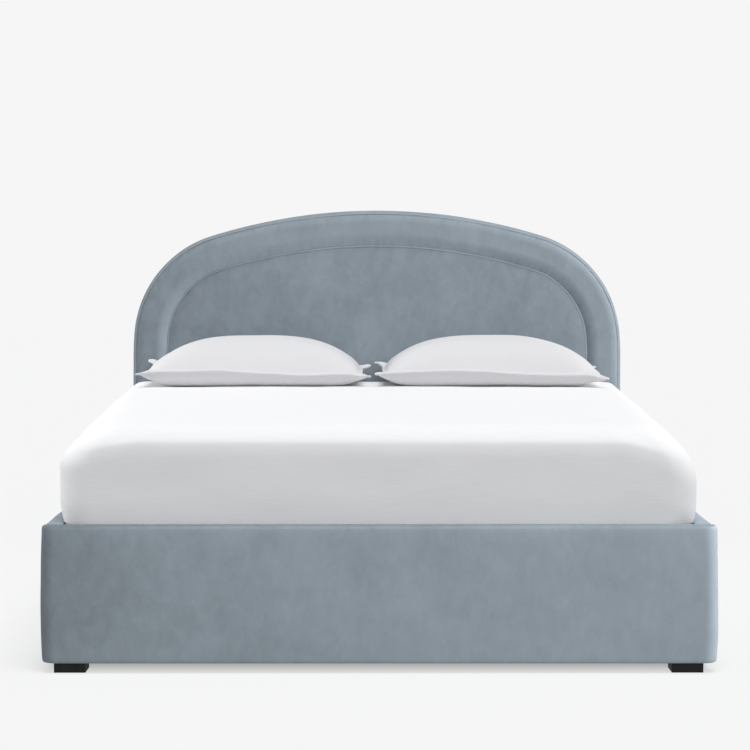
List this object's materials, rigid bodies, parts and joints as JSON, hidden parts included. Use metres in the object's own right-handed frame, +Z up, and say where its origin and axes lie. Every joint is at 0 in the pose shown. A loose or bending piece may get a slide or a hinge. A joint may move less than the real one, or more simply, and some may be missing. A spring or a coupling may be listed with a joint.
{
  "type": "upholstered bed",
  "caption": "Platform bed in blue-grey velvet with an arched, piped headboard and padded rails, holding a white mattress and two pillows on a slatted base.",
  "frame": {"origin": "on the floor at the middle of the bed's overall length and width", "axes": "+Z up, +Y towards the headboard, +X to the right seen from the foot of the bed"},
  "size_m": [1.626, 2.185, 1.1498],
  "materials": {
    "velvet": "matte",
    "velvet_piping": "matte",
    "upholstery_foam": "matte",
    "dust_cloth": "matte",
    "black_wood": "satin",
    "plywood": "matte",
    "pine": "matte",
    "black_steel": "satin",
    "zinc_steel": "satin",
    "insert_brass": "satin",
    "mattress_knit": "matte",
    "mattress_filling": "matte",
    "pillow_cotton": "matte",
    "pillow_fibre": "matte"
  },
  "bodies": {
    "bed_frame": {"beam_hangers": "black_steel", "centre_beam": "pine", "centre_leg_front": "black_wood", "centre_leg_rear": "black_wood", "corner_post_left": "pine", "corner_post_right": "pine", "foot_front_left": "black_wood", "foot_front_right": "black_wood", "foot_rail_board": "pine", "foot_rail_cover": "velvet", "foot_rail_foam": "upholstery_foam", "foot_rear_left": "black_wood", "foot_rear_right": "black_wood", "frame_bolts": "zinc_steel", "headboard_arch_rib_left": "plywood", "headboard_arch_rib_right": "plywood", "headboard_back_cloth": "dust_cloth", "headboard_border_cover": "velvet", "headboard_border_pad": "upholstery_foam", "headboard_boxing": "velvet", "headboard_centre_cover": "velvet", "headboard_centre_pad": "upholstery_foam", "headboard_inner_piping": "velvet_piping", "headboard_lower_rail": "pine", "headboard_middle_rail": "pine", "headboard_outer_piping": "velvet_piping", "headboard_panel": "plywood", "headboard_stile_left": "pine", "headboard_stile_right": "pine", "rail_bracket_left": "black_steel", "rail_bracket_right": "black_steel", "side_ledger_left": "pine", "side_ledger_right": "pine", "side_rail_board_left": "pine", "side_rail_board_right": "pine", "side_rail_cover_left": "velvet", "side_rail_cover_right": "velvet", "side_rail_foam_left": "upholstery_foam", "side_rail_foam_right": "upholstery_foam", "slat_01": "pine", "slat_02": "pine", "slat_03": "pine", "slat_04": "pine", "slat_05": "pine", "slat_06": "pine", "slat_07": "pine", "slat_08": "pine", "slat_09": "pine", "slat_10": "pine", "slat_11": "pine", "slat_12": "pine", "threaded_inserts": "insert_brass", "wood_screws": "zinc_steel"},
    "mattress": {"mattress_comfort_layer": "mattress_filling", "mattress_cover": "mattress_knit", "mattress_spring_core": "mattress_filling"},
    "pillow_left": {"pillow_case_left": "pillow_cotton", "pillow_fill_left": "pillow_fibre"},
    "pillow_right": {"pillow_case_right": "pillow_cotton", "pillow_fill_right": "pillow_fibre"}
  },
  "joints": [
    {"name": "mattress_lift", "type": "slide", "parent": "bed_frame", "child": "mattress", "axis": [0, 0, 1], "range_m": [0, 0.35]},
    {"name": "pillow_left_lift", "type": "slide", "parent": "mattress", "child": "pillow_left", "axis": [0, 0, 1], "range_m": [0, 0.3]},
    {"name": "pillow_right_lift", "type": "slide", "parent": "mattress", "child": "pillow_right", "axis": [0, 0, 1], "range_m": [0, 0.3]}
  ]
}
